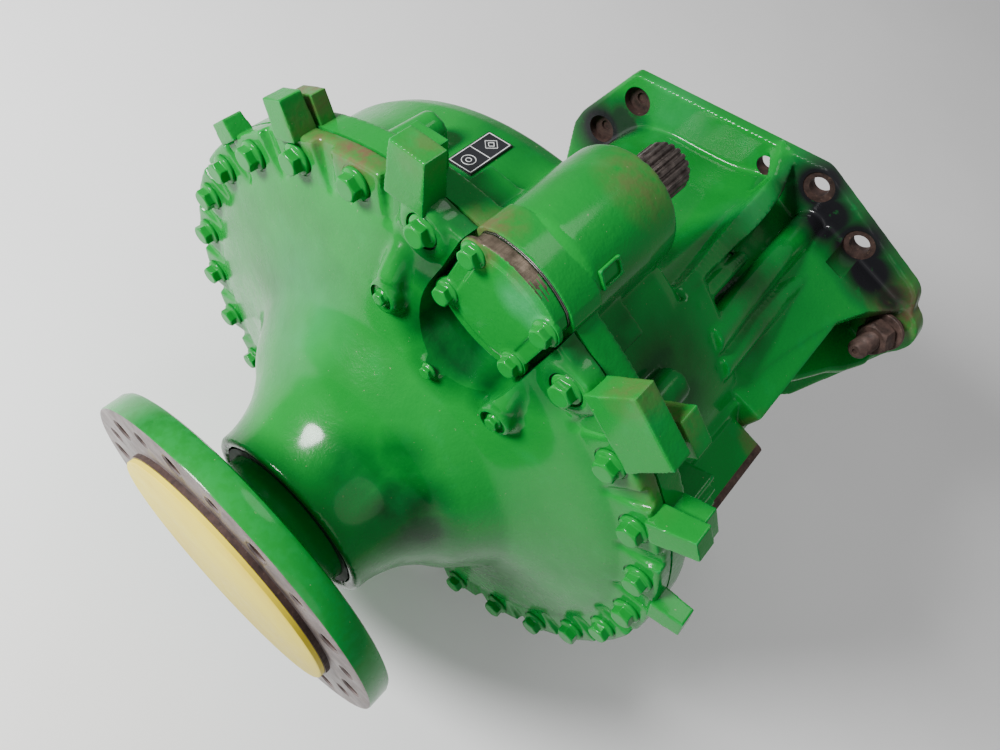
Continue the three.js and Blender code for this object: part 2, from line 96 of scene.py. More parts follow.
def joined(*parts):
    """Several (verts, faces) parts as one."""
    verts, faces = [], []
    for v, f in parts:
        faces += [tuple(i + len(verts) for i in face) for face in f]
        verts += [tuple(p) for p in v]
    return verts, faces


def moved(part, x=0, y=0, z=0):
    return [(a + x, b + y, c + z) for a, b, c in part[0]], part[1]


def turned(part, deg):
    """The part turned about the Y axis, from +Z towards +X."""
    s, c = math.sin(math.radians(deg)), math.cos(math.radians(deg))
    return [(x * c + z * s, y, z * c - x * s) for x, y, z in part[0]], part[1]


def rings(loops, caps=True):
    """A closed skin through loops of equal length."""
    n = len(loops[0])
    verts = [p for loop in loops for p in loop]
    faces = []
    for s in range(len(loops) - 1):
        for i in range(n):
            a, b = s * n + i, s * n + (i + 1) % n
            faces.append((a, b, b + n, a + n))
    if caps:
        faces.append(tuple(range(n)))
        faces.append(tuple(range((len(loops) - 1) * n, len(loops) * n))[::-1])
    return verts, faces


def lathe(profile, segments=96, x=0, z=0):
    """A closed profile of (r, y) turned about a Y axis through (x, z)."""
    loops = [[(x + r * math.sin(2 * math.pi * i / segments), y, z + r * math.cos(2 * math.pi * i / segments))
              for i in range(segments)] for r, y in profile]
    return rings(loops + [loops[0]], caps=False)


def rod(r, y0, y1, x=0, z=0, segments=48, r1=None):
    r1 = r if r1 is None else r1
    return lathe([(0, y0), (r, y0), (r1, y1), (0, y1)], segments, x, z)


def prism(outline, y0, y1):
    return rings([[(x, y0, z) for x, z in outline], [(x, y1, z) for x, z in outline]])


def slab(outline, z0, z1):
    """An outline of (x, y) with its thickness along Z."""
    return rings([[(x, y, z0) for x, y in outline], [(x, y, z1) for x, y in outline]])


def box(x0, x1, y0, y1, z0, z1):
    return prism([(x0, z0), (x1, z0), (x1, z1), (x0, z1)], y0, y1)


def bar(p, q, r, segments=24, r1=None):
    """A round bar between two points."""
    p, q = Vector(p), Vector(q)
    along = (q - p).normalized()
    side = along.orthogonal().normalized()
    other = along.cross(side)
    loops = []
    for c, radius in ((p, r), (q, r if r1 is None else r1)):
        loops.append([tuple(c + radius * (math.cos(t) * side + math.sin(t) * other))
                      for t in (2 * math.pi * i / segments for i in range(segments))])
    return rings(loops)


def rounded(outline, radius, steps=5):
    """The outline with its corners rounded."""
    out = []
    n = len(outline)
    for i in range(n):
        before, here, after = (Vector(outline[(i + k) % n]) for k in (-1, 0, 1))
        a, b = (before - here), (after - here)
        cut = min(radius, a.length * 0.45, b.length * 0.45)
        p, q = here + a.normalized() * cut, here + b.normalized() * cut
        for k in range(steps + 1):
            t = k / steps
            out.append(tuple(p * (1 - t) ** 2 + here * 2 * t * (1 - t) + q * t * t))
    return out


def catmull(points, per=6, closed=True):
    """A smooth line through the points."""
    n = len(points)
    out = []
    for i in range(n if closed else n - 1):
        if closed:
            p = [np.array(points[(i + k) % n], float) for k in (-1, 0, 1, 2)]
        else:
            p = [np.array(points[min(max(i + k, 0), n - 1)], float) for k in (-1, 0, 1, 2)]
        for k in range(per):
            t = k / per
            square = 2 * p[0] - 5 * p[1] + 4 * p[2] - p[3]
            cube = 3 * p[1] - p[0] - 3 * p[2] + p[3]
            out.append(tuple(0.5 * (2 * p[1] + (p[2] - p[0]) * t + square * t * t + cube * t ** 3)))
    return out if closed else out + [tuple(points[-1])]


def loft(sections, per=6, between=6):
    """A skin through closed sections [(y, [(x, z), ...]), ...], smooth round and along."""
    dense = [[(x, y, z) for x, z in catmull(pts, per)] for y, pts in sections]
    lines = [catmull([loop[i] for loop in dense], between, closed=False) for i in range(len(dense[0]))]
    return rings([[line[k] for line in lines] for k in range(len(lines[0]))])


def radial_block(r0, r1, deg, width, y0, y1, top=1.0, side=0.0):
    """A block standing outwards at an angle; top narrows its outer end and side drafts its faces."""
    w0, w1 = width / 2, width / 2 * top
    loops = [[(-w0, y0, r0), (w0, y0, r0), (w0, y1, r0), (-w0, y1, r0)],
             [(-w1, y0 + side, r1), (w1, y0 + side, r1), (w1, y1 - side, r1), (-w1, y1 - side, r1)]]
    return turned(rings(loops), deg)


def make(name, part, material=None, smooth=None):
    """A mesh object in metres. smooth is the angle in degrees above which an edge stays sharp."""
    mesh = bpy.data.meshes.new(name)
    mesh.from_pydata([(x * MM, y * MM, z * MM) for x, y, z in part[0]], [], part[1])
    bm = bmesh.new()
    bm.from_mesh(mesh)
    bmesh.ops.remove_doubles(bm, verts=bm.verts, dist=1e-6)
    bmesh.ops.dissolve_degenerate(bm, edges=bm.edges, dist=1e-7)
    bmesh.ops.recalc_face_normals(bm, faces=bm.faces)
    bm.to_mesh(mesh)
    bm.free()
    obj = bpy.data.objects.new(name, mesh)
    bpy.context.scene.collection.objects.link(obj)
    if material:
        mesh.materials.append(material)
    if smooth is not None:
        shade(obj, smooth)
    return obj


def shade(obj, angle):
    obj.data.shade_smooth()
    obj.data.set_sharp_from_angle(angle=math.radians(angle))


def settle(obj):
    """Applies the modifiers."""
    graph = bpy.context.evaluated_depsgraph_get()
    mesh = bpy.data.meshes.new_from_object(obj.evaluated_get(graph))
    old = obj.data
    obj.modifiers.clear()
    obj.data = mesh
    bpy.data.meshes.remove(old)


def fuse(obj, voxel, rounds):
    """Melts overlapping closed parts into one skin with soft corners, as a casting has."""
    remesh = obj.modifiers.new("remesh", "REMESH")
    remesh.mode = "VOXEL"
    remesh.voxel_size = voxel * MM
    relax = obj.modifiers.new("relax", "SMOOTH")
    relax.factor = 0.5
    relax.iterations = rounds
    settle(obj)


def machine(obj, parts, material, operation="DIFFERENCE"):
    """Cuts parts from obj one after another; the cut faces take the material."""
    for part in parts:
        tool = make("tool", part, material)
        cut = obj.modifiers.new("cut", "BOOLEAN")
        cut.operation = operation
        cut.object = tool
        cut.solver = "MANIFOLD"
        cut.material_mode = "TRANSFER"
        settle(obj)
        old = tool.data
        bpy.data.objects.remove(tool)
        bpy.data.meshes.remove(old)


def subtract(obj, tool):
    """Cuts a finished mesh object from obj and removes it."""
    cut = obj.modifiers.new("cut", "BOOLEAN")
    cut.operation, cut.object, cut.solver, cut.material_mode = "DIFFERENCE", tool, "MANIFOLD", "TRANSFER"
    settle(obj)
    bpy.data.objects.remove(tool)


def join_meshes(obj, other):
    """Puts the faces of other into obj and removes it."""
    bm = bmesh.new()
    bm.from_mesh(obj.data)
    bm.from_mesh(other.data)
    bm.to_mesh(obj.data)
    bm.free()
    bpy.data.objects.remove(other)


def attach(obj, parts):
    """Adds crisp castings to obj, their own corners rounded by a finer cell."""
    extra = make("extra", joined(*parts), CAST_GREEN)
    fuse(extra, VOXEL * 0.5, 2)
    add = obj.modifiers.new("add", "BOOLEAN")
    add.operation, add.object, add.solver = "UNION", extra, "MANIFOLD"
    settle(obj)
    bpy.data.objects.remove(extra)


def mark(obj, name, spots):
    """A per-vertex share from 0 to 1, high near the spots (x, y, z, radius, strength)."""
    mesh = obj.data
    co = np.empty(len(mesh.vertices) * 3)
    mesh.vertices.foreach_get("co", co)
    co = co.reshape(-1, 3) / MM
    value = np.zeros(len(co))
    for x, y, z, radius, strength in spots:
        d = np.linalg.norm(co - np.array([x, y, z]), axis=1) / radius
        value = np.maximum(value, strength * np.clip(1.6 * (1 - d), 0, 1))
    layer = mesh.attributes.new(name, "FLOAT", "POINT")
    layer.data.foreach_set("value", value.astype(np.float32))


def paint_faces(obj, material, test):
    """Gives the material to faces whose centre and normal (millimetres) pass the test."""
    obj.data.materials.append(material)
    index = len(obj.data.materials) - 1
    for face in obj.data.polygons:
        c = face.center / MM
        if test(c.x, c.y, c.z, face.normal):
            face.material_index = index


def finish_piece(obj, body, slot, *nodes):
    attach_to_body(obj, body)
    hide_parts(*nodes)
    return obj


# ---- materials -----------------------------------------------------------------------------
class Finish:
    """A Principled material with short calls for its nodes. Patterns sit in object space."""

    def __init__(self, name, **sockets):
        self.material = bpy.data.materials.new(name)
        self.material.use_nodes = True
        self.tree = self.material.node_tree
        self.bsdf = next(n for n in self.tree.nodes if n.type == "BSDF_PRINCIPLED")
        for key, value in sockets.items():
            self.bsdf.inputs[key.replace("_", " ")].default_value = value
        self.place = self.tree.nodes.new("ShaderNodeTexCoord").outputs["Object"]

    def node(self, kind, **sockets):
        made = self.tree.nodes.new("ShaderNode" + kind)
        for key, value in sockets.items():
            self.feed(made.inputs[key.replace("_", " ")], value)
        return made

    def feed(self, socket, value):
        if isinstance(value, bpy.types.NodeSocket):
            self.tree.links.new(value, socket)
        else:
            socket.default_value = value

    def noise(self, size, detail=4.0, roughness=0.55, stretch=(1, 1, 1)):
        """Noise from 0 to 1 with features of about size millimetres."""
        place = self.node("Mapping", Vector=self.place, Scale=stretch).outputs[0]
        made = self.node("TexNoise", Vector=place, Scale=1000 / size, Detail=detail, Roughness=roughness)
        return made.outputs[0]

    def calc(self, operation, a, b=0.0, clamp=False):
        made = self.tree.nodes.new("ShaderNodeMath")
        made.operation = operation
        made.use_clamp = clamp
        self.feed(made.inputs[0], a)
        self.feed(made.inputs[1], b)
        return made.outputs[0]

    def range(self, value, low, high, to_low=0.0, to_high=1.0):
        made = self.node("MapRange", Value=value)
        for key, number in zip(("From Min", "From Max", "To Min", "To Max"), (low, high, to_low, to_high)):
            made.inputs[key].default_value = number
        return made.outputs[0]

    def mix(self, share, a, b):
        made = self.tree.nodes.new("ShaderNodeMix")
        made.data_type = "RGBA"
        self.feed(made.inputs[0], share)
        self.feed(made.inputs[6], a if isinstance(a, bpy.types.NodeSocket) else (*a, 1))
        self.feed(made.inputs[7], b if isinstance(b, bpy.types.NodeSocket) else (*b, 1))
        return made.outputs[2]

    def attribute(self, name):
        made = self.tree.nodes.new("ShaderNodeAttribute")
        made.attribute_name = name
        return made.outputs["Fac"]

    def edges(self, low, high):
        """1 on outside corners of a dense mesh, 0 on flats."""
        point = self.tree.nodes.new("ShaderNodeNewGeometry").outputs["Pointiness"]
        return self.range(point, low, high)

    def bump(self, height, depth, under=None):
        """Relief of depth millimetres."""
        made = self.node("Bump", Height=height, Distance=depth * MM)
        made.inputs["Strength"].default_value = 1.0
        if under is not None:
            self.feed(made.inputs["Normal"], under)
        return made.outputs[0]

    def done(self, color=None, rough=None, metal=None, normal=None):
        inputs = {"Base Color": color, "Roughness": rough, "Metallic": metal, "Normal": normal}
        for key, value in inputs.items():
            if value is not None:
                self.feed(self.bsdf.inputs[key], value)
        return self.material


GREEN_DEEP, GREEN, GREEN_LIGHT = (0.0, 0.085, 0.008), (0.0, 0.205, 0.024), (0.002, 0.33, 0.085)
# SHADED is a painted shade colour; the pale mint green beside it is a painted sheen colour
SHADED, SHEEN_GREEN = (0.0, 0.022, 0.004), (0.03, 0.29, 0.10)
GREASE, BROWN, DUST = (0.010, 0.010, 0.012), (0.13, 0.062, 0.04), (0.30, 0.27, 0.18)


def green_paint(name, cast_depth, worn):
    """Thick gloss over a casting: mottled colour, orange peel, thin edges, grease and rust stains, painted
    shade in hollows and in marked patches, and painted sheen patches.
    """
    f = Finish(name, Coat_Weight=0.4, Coat_Roughness=0.12, Specular_IOR_Level=0.05)

    # the share of a marked attribute broken up by noise; it carries the rust and grease stains, the painted
    # shade and the painted sheen
    def stain_and_light_patch(attribute, size, detail, low, high, weakest=0.0, strongest=1.0, roughness=0.55):
        cloud = f.range(f.noise(size, detail, roughness), low, high, weakest, strongest)
        return f.calc("MULTIPLY", f.attribute(attribute), cloud, clamp=True)

    tone = f.mix(f.range(f.noise(110, 3), 0.3, 0.62), GREEN_DEEP, GREEN)
    tone = f.mix(f.range(f.noise(300, 2), 0.25, 0.6), tone, GREEN)
    tone = f.mix(f.range(f.noise(38, 5), 0.58, 0.9, 0, 0.3), tone, GREEN_LIGHT)
    specks = f.range(f.noise(3.2, 2), 0.73, 0.78)
    tone = f.mix(f.calc("MULTIPLY", specks, 0.6), tone, DUST)
    thin = f.calc("MULTIPLY", f.edges(0.53, 0.60), f.range(f.noise(9, 5), 0.42, 0.6, 0, worn), clamp=True)
    tone = f.mix(thin, tone, GREEN_LIGHT)
    # painted shade: concave hollows and creases are darkened towards the deep green
    hollow_shade = f.edges(0.48, 0.42)
    tone = f.mix(f.calc("MULTIPLY", hollow_shade, 0.55, clamp=True), tone, GREEN_DEEP)
    # painted shade: the marked patches turn near-black green where shadow and dark reflections fall
    tone = f.mix(stain_and_light_patch("painted_shade", 46, 4, 0.25, 0.6, 0.6), tone, SHADED)
    # painted sheen: the marked patches turn a pale mint green standing in for highlights on the gloss, and
    # get rougher
    painted_sheen = stain_and_light_patch("painted_sheen", 30, 5, 0.25, 0.6, 0.3, 0.8, 0.6)
    tone = f.mix(painted_sheen, tone, SHEEN_GREEN)
    rust = stain_and_light_patch("rust", 14, 6, 0.25, 0.6, roughness=0.65)
    tone = f.mix(rust, tone, BROWN)
    tone = f.mix(stain_and_light_patch("grease", 22, 5, 0.12, 0.4, roughness=0.6), tone, GREASE)
    rough = f.range(f.noise(25, 5), 0.3, 0.75, 0.2, 0.4)
    rough = f.calc("ADD", rough, f.calc("MULTIPLY", f.calc("ADD", rust, painted_sheen), 0.35), clamp=True)
    relief = f.bump(f.noise(3.4, 3, 0.6), cast_depth)
    relief = f.bump(f.noise(14, 4), cast_depth * 2.2, relief)
    return f.done(tone, rough, normal=relief)


def yellow_paint():
    f = Finish("yellow_paint", Coat_Weight=0.1, Coat_Roughness=0.3)
    tone = f.mix(f.range(f.noise(70, 4), 0.3, 0.7), (0.72, 0.56, 0.008), (0.80, 0.66, 0.02))
    tone = f.mix(f.range(f.noise(4, 3), 0.68, 0.8, 0, 0.5), tone, (0.45, 0.36, 0.14))
    return f.done(tone, f.range(f.noise(12), 0.3, 0.7, 0.42, 0.6), normal=f.bump(f.noise(3), 0.08))


def metal(name, dark, light, rough, grain, relief, size=18, shine=1.0):
    """Bare metal with turning or rolling marks; grain stretches the pattern along one axis."""
    f = Finish(name, Specular_IOR_Level=0.5)
    tone = f.mix(f.range(f.noise(size, 5), 0.3, 0.7), dark, light)
    streak = f.noise(1.2, 3, stretch=grain)
    tone = f.mix(f.range(streak, 0.35, 0.75, 0, 0.5), tone, dark)
    roughness = f.range(f.noise(size * 0.6, 5), 0.3, 0.7, rough * 0.8, rough * 1.25)
    return f.done(tone, roughness, shine, f.bump(streak, relief))


def rusty(name, dark, light):
    f = Finish(name, Specular_IOR_Level=0.4)
    tone = f.mix(f.range(f.noise(11, 6, 0.65), 0.3, 0.7), dark, light)
    tone = f.mix(f.range(f.noise(4, 4), 0.6, 0.8, 0, 0.6), tone, (0.19, 0.12, 0.085))
    return f.done(tone, f.range(f.noise(6, 4), 0.3, 0.7, 0.5, 0.8), 0.35, f.bump(f.noise(1.5, 4), 0.18))


def plain(name, color, rough, size, relief):
    """Rubber, paper and the like: one colour with small uneven grain."""
    f = Finish(name)
    darker = tuple(c * 0.6 for c in color)
    tone = f.mix(f.range(f.noise(size, 4), 0.3, 0.7), darker, color)
    return f.done(tone, f.range(f.noise(size * 2), 0.3, 0.7, rough * 0.85, min(1, rough * 1.15)),
                  normal=f.bump(f.noise(size * 0.5, 3), relief))


CAST_GREEN = green_paint("cast_green", 0.26, 0.85)
BOLT_GREEN = green_paint("bolt_green", 0.05, 1.0)
HUB_GREEN = green_paint("hub_green", 0.05, 0.8)
YELLOW = yellow_paint()
BARE_FACE = metal("bare_face", (0.10, 0.078, 0.075), (0.26, 0.215, 0.21), 0.42, (1, 1, 0.2), 0.03, 26, 0.75)
STEEL = metal("machined_steel", (0.22, 0.21, 0.20), (0.5, 0.49, 0.47), 0.3, (1, 0.05, 1), 0.02)
TURNED = metal("turned_edge", (0.05, 0.04, 0.025), (0.26, 0.20, 0.15), 0.42, (1, 0.04, 1), 0.05, 12, 0.7)
BRIGHT = metal("bearing_steel", (0.45, 0.46, 0.47), (0.62, 0.63, 0.64), 0.18, (1, 0.1, 1), 0.01)
SPLINE = metal("spline_steel", (0.035, 0.026, 0.024), (0.20, 0.165, 0.15), 0.4, (1, 0.08, 1), 0.05, 9, 0.85)
RUST = rusty("rusty_steel", (0.030, 0.018, 0.015), (0.105, 0.062, 0.05))
BORE_RUST = rusty("rusty_bore", (0.018, 0.011, 0.010), (0.075, 0.042, 0.034))
RUBBER = plain("seal_rubber", (0.018, 0.018, 0.02), 0.55, 6, 0.05)
PAPER = plain("gasket_paper", (0.07, 0.05, 0.035), 0.85, 3, 0.08)
LABEL = plain("label_black", (0.012, 0.013, 0.016), 0.35, 20, 0.02)
INK = plain("label_white", (0.72, 0.73, 0.72), 0.5, 8, 0.01)

SLOT_MATERIALS = {
    "green_paint": CAST_GREEN, "green_fasteners": BOLT_GREEN, "hub_paint": HUB_GREEN,
    "yellow_paint": YELLOW, "label_black": LABEL, "bearing_steel": BRIGHT, "seal_rubber": RUBBER,
    "gasket_paper": PAPER, "rusty_steel": RUST, "machined_steel": STEEL,
}


def dress_cad_nodes():
    """Gives every CAD node the procedural material of its slot in the record."""
    for entry in frame["record"]["subparts"]:
        data = frame["nodes"][entry["node"]].data
        data.materials.clear()
        data.materials.append(SLOT_MATERIALS[entry["material_slot"]])


# ---- places --------------------------------------------------------------------------------
bolt_angles = [s * (FIRST_BOLT + k * BOLT_STEP) for k in range(12) for s in (1, -1)] + [180]
bolt_places = [polar(BOLT_CIRCLE, deg) for deg in bolt_angles]
cap_bolt_places = [(x, CENTRES + z) for x in (-40, 40) for z in (-33, 33)]
deep_holes = [(-101, 141), (-116, 66)]
spot_holes = [(126, 249), (208, 237), (-92, -92), (-8, -172), (168, -172), (312, -52)]
bare_hole = (67, 217)
PLUGS = [(-77, 231), (66, 229)]
SMALL_PLUG = (-5, 209)
PLUG_SEAT_Y, PLUG_BOSS_Y = -515, -519


# ---- gear housing --------------------------------------------------------------------------
BELL = [
    (-300, [(-215, 150), (-140, 205), (-84, 228), (-45, 222), (0, 211), (50, 224), (84, 256), (112, 252),
          (150, 248), (182, 234), (240, 190), (286, 80), (286, -60), (225, -185), (110, -262),
          (-20, -280), (-150, -235), (-245, -130), (-268, 20)]),
    (-225, [(-172, 110), (-128, 136), (-84, 178), (-45, 188), (0, 188), (48, 204), (82, 242), (112, 230),
          (148, 228), (180, 216), (222, 172), (268, 84), (270, -50), (214, -160), (108, -222),
          (-20, -234), (-122, -188), (-188, -106), (-205, 18)]),
    (-120, [(-116, 56), (-98, 90), (-82, 124), (-44, 158), (0, 172), (46, 190), (80, 222), (108, 206),
          (146, 205), (180, 198), (222, 170), (252, 92), (262, -40), (214, -136), (110, -184),
          (-20, -190), (-98, -146), (-118, -84), (-122, 10)]),
    (-11, [(-96, 40), (-90, 76), (-76, 116), (-43, 143), (0, 162), (42, 182), (78, 206), (104, 198),
          (144, 194), (182, 192), (226, 168), (250, 110), (256, -40), (212, -130), (112, -172),
          (-18, -180), (-86, -136), (-104, -80), (-104, 8)]),
]
PLATE_OUTLINE = [(-126, 167), (-152, 62), (-152, 36), (-128, -31), (-118, -118), (-30, -196), (190, -200),
                 (300, -120), (340, -10), (342, 156), (346, 182), (312, 226), (297, 246), (285, 252),
                 (116, 271)]
WALL = [(-312, 91, 101, 285), (-276, 90, 102, 281), (-206, 86, 104, 263), (-132, 83, 107, 251),
        (-80, 82, 105, 242), (-44, 79, 99, 239), (-24, 68, 90, 245), (-8, 56, 80, 253)]
RIDGES = [
    [((114, -305, 274), 9), ((116, -230, 258), 9), ((119, -176, 240), 8)],
    [((150, -305, 256), 17), ((150, -225, 241), 17), ((150, -120, 226), 17), ((152, -60, 212), 18),
     ((156, -8, 202), 20)],
    [((177, -305, 240), 15), ((178, -225, 232), 14), ((182, -150, 218), 14), ((192, -60, 202), 16),
     ((204, -8, 198), 20)],
]
UPPER_WEB = [(170, -8), (306, -8), (300, -22), (270, -64), (243, -128), (226, -198), (214, -262),
             (170, -280)]
LOWER_WEB = [(180, -8), (338, -8), (334, -40), (318, -75), (303, -95), (281, -139), (267, -164),
             (258, -230), (180, -280)]
STUD_BOSS = (306, 190)


def along_stud(share):
    return tuple(a + (b - a) * share for a, b in zip(STUD_FOOT, STUD_END))


def wall():
    """The flat-topped wall on the right of the trough."""
    loops = []
    for y, x0, x1, top in WALL:
        foot = top - 50 if y < -50 else 232
        loops.append([(x0, y, top), (x1, y, top), (x1 + 3, y, foot), (x0 - 5, y, foot)])
    return rings(loops)


def swept(path):
    """A chain of round bars, each as thick as its points say."""
    return [bar(p, q, r, 20, r1) for (p, r), (q, r1) in zip(path, path[1:])]


DRUM = [(0, JOINT_Y - 3), (RIM_R, JOINT_Y - 3), (RIM_R, -438), (DRUM_R + 6, -434), (DRUM_R, -428),
        (DRUM_R, -334), (299, -318), (280, -300), (250, -290), (0, -286)]
DRUM_SIDE = [(180, -360), (DRUM_R, -360), (DRUM_R, -284), (296, -272), (180, -262)]
BODY_FRONT = [(0, -446), (56, -446), (62, -434), (62, -360), (NOSE_R, NOSE_END_Y), (0, NOSE_END_Y)]
BOSS_END_Y = -434
SIDE_BOSSES = (-31, 28)                  # their angles on the drum
HOUSING_LUGS = [(386, 27, 44, -464, -438, 0.84), (367, -43, 36, -465, -446, 0.86),
                (366, -22, 40, -464, -438, 0.86), (372, 44, 36, -464, -438, 0.86)]
FAR = 700                                # beyond every face of the part


def cast_parts():
    """The rough shapes of the housing that melt into one casting."""
    saddle = [radial_block(250, 328, deg, 60, JOINT_Y + 2, -396, 0.92, 4) for deg in (-12, 0, 12)]
    web_wall = prism([(180, 140), (250, 140), (250, 222), (180, 222)], -290, -8)
    pad = [radial_block(280, 309, 51.5, 68, -400, -216, 0.9, 3), box(236, 276, -396, -298, 62, 206)]
    block = [radial_block(290, 337, 48, 46, -441, -391, 0.9, 2)]
    block += [radial_block(330, 342, deg, 7, -440, -392, 0.8, 1) for deg in (45, 48, 51)]
    bosses = [rod(19, -448, -384, *polar(316, deg), r1=17) for deg in SIDE_BOSSES]
    bosses += [radial_block(284, 319, deg, 34, -440, -388, 0.8, 6) for deg in SIDE_BOSSES]
    return [lathe(DRUM, 160), lathe(BODY_FRONT, 96, 0, CENTRES), *saddle, loft(BELL),
            prism(rounded(PLATE_OUTLINE, 6), -PLATE, 3), rod(39, -PLATE - 5, 3, *STUD_BOSS), web_wall,
            *pad, *block, *bosses, wall(), *[b for path in RIDGES for b in swept(path)],
            slab(UPPER_WEB, 202, 224), slab(LOWER_WEB, 139, 151)]


def hollow_housing(body):
    """Machines the joint face, the gear room and the flat back."""
    joint = lathe([(0, -600), (420, -600), (420, JOINT_Y), (0, JOINT_Y)], 96)
    front_tool = make("front_tool", joint, CAST_GREEN)
    around_boss = barrel_prism(tuple(v + 0.5 for v in BOSS_SHAPE), -FAR, JOINT_Y + 1)
    machine(front_tool, [around_boss], CAST_GREEN)
    room = make("room_tool", lathe([(0, -600), (276, -600), (276, -336), (0, -336)], 96), CAST_GREEN)
    machine(room, [box(-80, 80, -FAR, -452, CENTRES - 108, 460)], CAST_GREEN)
    machine(body, [rod(46, NOSE_END_Y - 0.5, -230, 0, CENTRES)], CAST_GREEN)
    machine(body, [box(-500, 500, 0, 60, -500, 500)], BARE_FACE)
    for tool in (front_tool, room):
        subtract(body, tool)


def bore_housing(body):
    """Cuts the boss face, the bearing seats and the holes of the plate."""
    machine(body, [box(-300, 300, -FAR, BOSS_FACE_Y, 160, 460),
                   joined(*[rod(19, -62, -PLATE - 0.2, x, z, 40) for x, z in spot_holes])], CAST_GREEN)
    machine(body, [
        rod(44, -530, -440, 0, CENTRES), rod(55, -453, -350, 0, CENTRES),
        rod(44, -352, -325, 0, CENTRES), rod(36.9, -326, NOSE_END_Y + 5, 0, CENTRES),
        rod(76, -350, -276, 0, 0),
        joined(*[rod(12, -24, 5, x, z, 32) for x, z in [*spot_holes, bare_hole]]),
        joined(*[rod(7, -24, -1.5, x, z, 32) for x, z in deep_holes]),
        joined(*[rod(19, -PLATE - 0.8, -PLATE + 1.5, x, z, 40) for x, z in spot_holes]),
        joined(*[rod(19, -40, -5, x, z, 40) for x, z in deep_holes]),
        bar(along_stud(-0.3), along_stud(0.4), 15, 32),
    ], BORE_RUST)
    machine(body, [bar(along_stud(0.31), along_stud(1.4), 26, 40)], CAST_GREEN)
    machine(body, [box(276, 320, -392, -302, 58, 203)], RUST)


def on_pad_top(x, y, z, normal):
    return 268 < x < 300 and -396 < y < -298 and 196 < z < 212 and normal.z > 0.3


def housing():
    body = make("housing_casting", joined(*cast_parts()), CAST_GREEN)
    sector = make("drum_side", lathe(DRUM_SIDE, 160), CAST_GREEN)
    machine(sector, [prism([(0, 0), polar(520, 20), polar(520, 66), polar(520, 112)], -400, -200)],
            CAST_GREEN, "INTERSECT")
    join_meshes(body, sector)
    fuse(body, VOXEL, 4)
    lugs = [radial_block(296, *lug, 1.5) for lug in HOUSING_LUGS]
    attach(body, [barrel_prism(BOSS_SHAPE, BOSS_FACE_Y, BOSS_END_Y), *cast_frame(), *lugs])
    hollow_housing(body)
    bore_housing(body)
    paint_faces(body, RUST, on_pad_top)
    for name, spots in HOUSING_STAINS_AND_LIGHT.items():
        mark(body, name, spots)
    shade(body, 38)
    finish_piece(body, "housing", "green_paint", "gear_housing")


# Stains and painted light marks are (x, y, z, radius, strength).
HOUSING_STAINS_AND_LIGHT = {
    "grease": [(-116, -PLATE, 66, 66, 1), (-98, -PLATE, 104, 46, 0.9), (126, -PLATE, 249, 60, 1),
               (112, -PLATE - 20, 238, 40, 0.9), (160, -PLATE - 6, 234, 56, 1), (208, -PLATE, 237, 62, 1),
               (240, -PLATE - 6, 222, 60, 1), (275, -PLATE - 4, 216, 46, 0.9)],
    "rust": [(292, -20, 216, 54, 0.9), (0, NOSE_END_Y - 20, 364, 46, 0.5), (-50, -466, 352, 34, 0.7),
             (268, -290, 205, 34, 0.8), (150, -464, 330, 40, 0.6), (-245, -455, 262, 30, 0.8)],
    # painted sheen: pale patches standing in for highlights on the plate and the bell
    "painted_sheen": [(130, -PLATE, 262, 60, 0.5), (-60, -PLATE, 176, 60, 0.4), (93, -120, 250, 60, 0.4)],
    # painted shade: dark patches standing in for shadow on the ribs, the pinion body and the underside
    "painted_shade": [(150, -380, 262, 90, 0.8), (90, -400, 330, 60, 0.7), (72, -452, 300, 40, 0.8),
             (135, -200, 232, 60, 0.9), (162, -230, 222, 50, 0.8), (120, -60, 222, 44, 0.8),
             (260, -300, 60, 150, 0.6), (-110, -330, 270, 60, 0.5)],
}


def barrel(shape):
    """A block with flat ends at x = +-half and bulging long sides, centred on the pinion axis."""
    half, tall, arc = shape
    xs = [-half + 2 * half * i / 24 for i in range(25)]
    top = [(x, CENTRES + tall - arc + math.sqrt(arc * arc - x * x)) for x in xs]
    return top + [(-x, 2 * CENTRES - z) for x, z in top]


def barrel_prism(shape, y0, y1):
    return prism(rounded_ends(barrel(shape)), y0, y1)


def rounded_ends(outline, cut=5):
    """Takes the sharp corners off a barrel outline."""
    n = len(outline) // 2
    out = []
    for half in (outline[:n], outline[n:]):
        (x0, z0), (x1, z1) = half[0], half[-1]
        s = 1 if z0 > CENTRES else -1
        a = [(x0, z0 - s * cut), (x0 + s * cut * 0.3, z0 - s * cut * 0.3)]
        b = [(x1 - s * cut * 0.3, z1 - s * cut * 0.3), (x1, z1 - s * cut)]
        out += a + half[2:-2] + b
    return out


def cast_frame():
    """The small raised rectangle on the side of the pinion body."""
    deg, y0, y1, r0, r1 = 39.5, -429, -402, 56, 64.5
    sides = [radial_block(r0, r1, deg, 17, y0, y0 + 3), radial_block(r0, r1, deg, 17, y1 - 3, y1),
             radial_block(r0, r1, deg - 7, 3, y0, y1), radial_block(r0, r1, deg + 7, 3, y0, y1)]
    return [moved(side, z=CENTRES) for side in sides]


# ---- front cover ---------------------------------------------------------------------------
DOME = [(103, NECK_END_Y), (104, -638), (108, -622), (117, -601), (128, -586), (140, -573), (156, -560),
        (181, -532), (196, -520), (232, -507), (280, -496), (300, COVER_SEAT_Y - 1)]
COVER_INSIDE = [(276, JOINT_Y), (270, -480), (208, -494), (146, -543), (112, -566), (88, -568)]
COVER_LUGS = [(-62, 30, 358, -492), (-43, 29, 374, -494), (-18.5, 42, 388, -495), (22.7, 78, 388, -495),
              (41, 26, 386, -494), (63, 28, 372, -492)]


def cover_lug(deg, width, r, y):
    """A lug proud of the rim, and the thinner web that ties it to the flange."""
    return (radial_block(337, r, deg, width, y, JOINT_Y - 1, 0.88, 2),
            radial_block(300, 345, deg, width * 0.9, COVER_SEAT_Y + 2, JOINT_Y - 1))


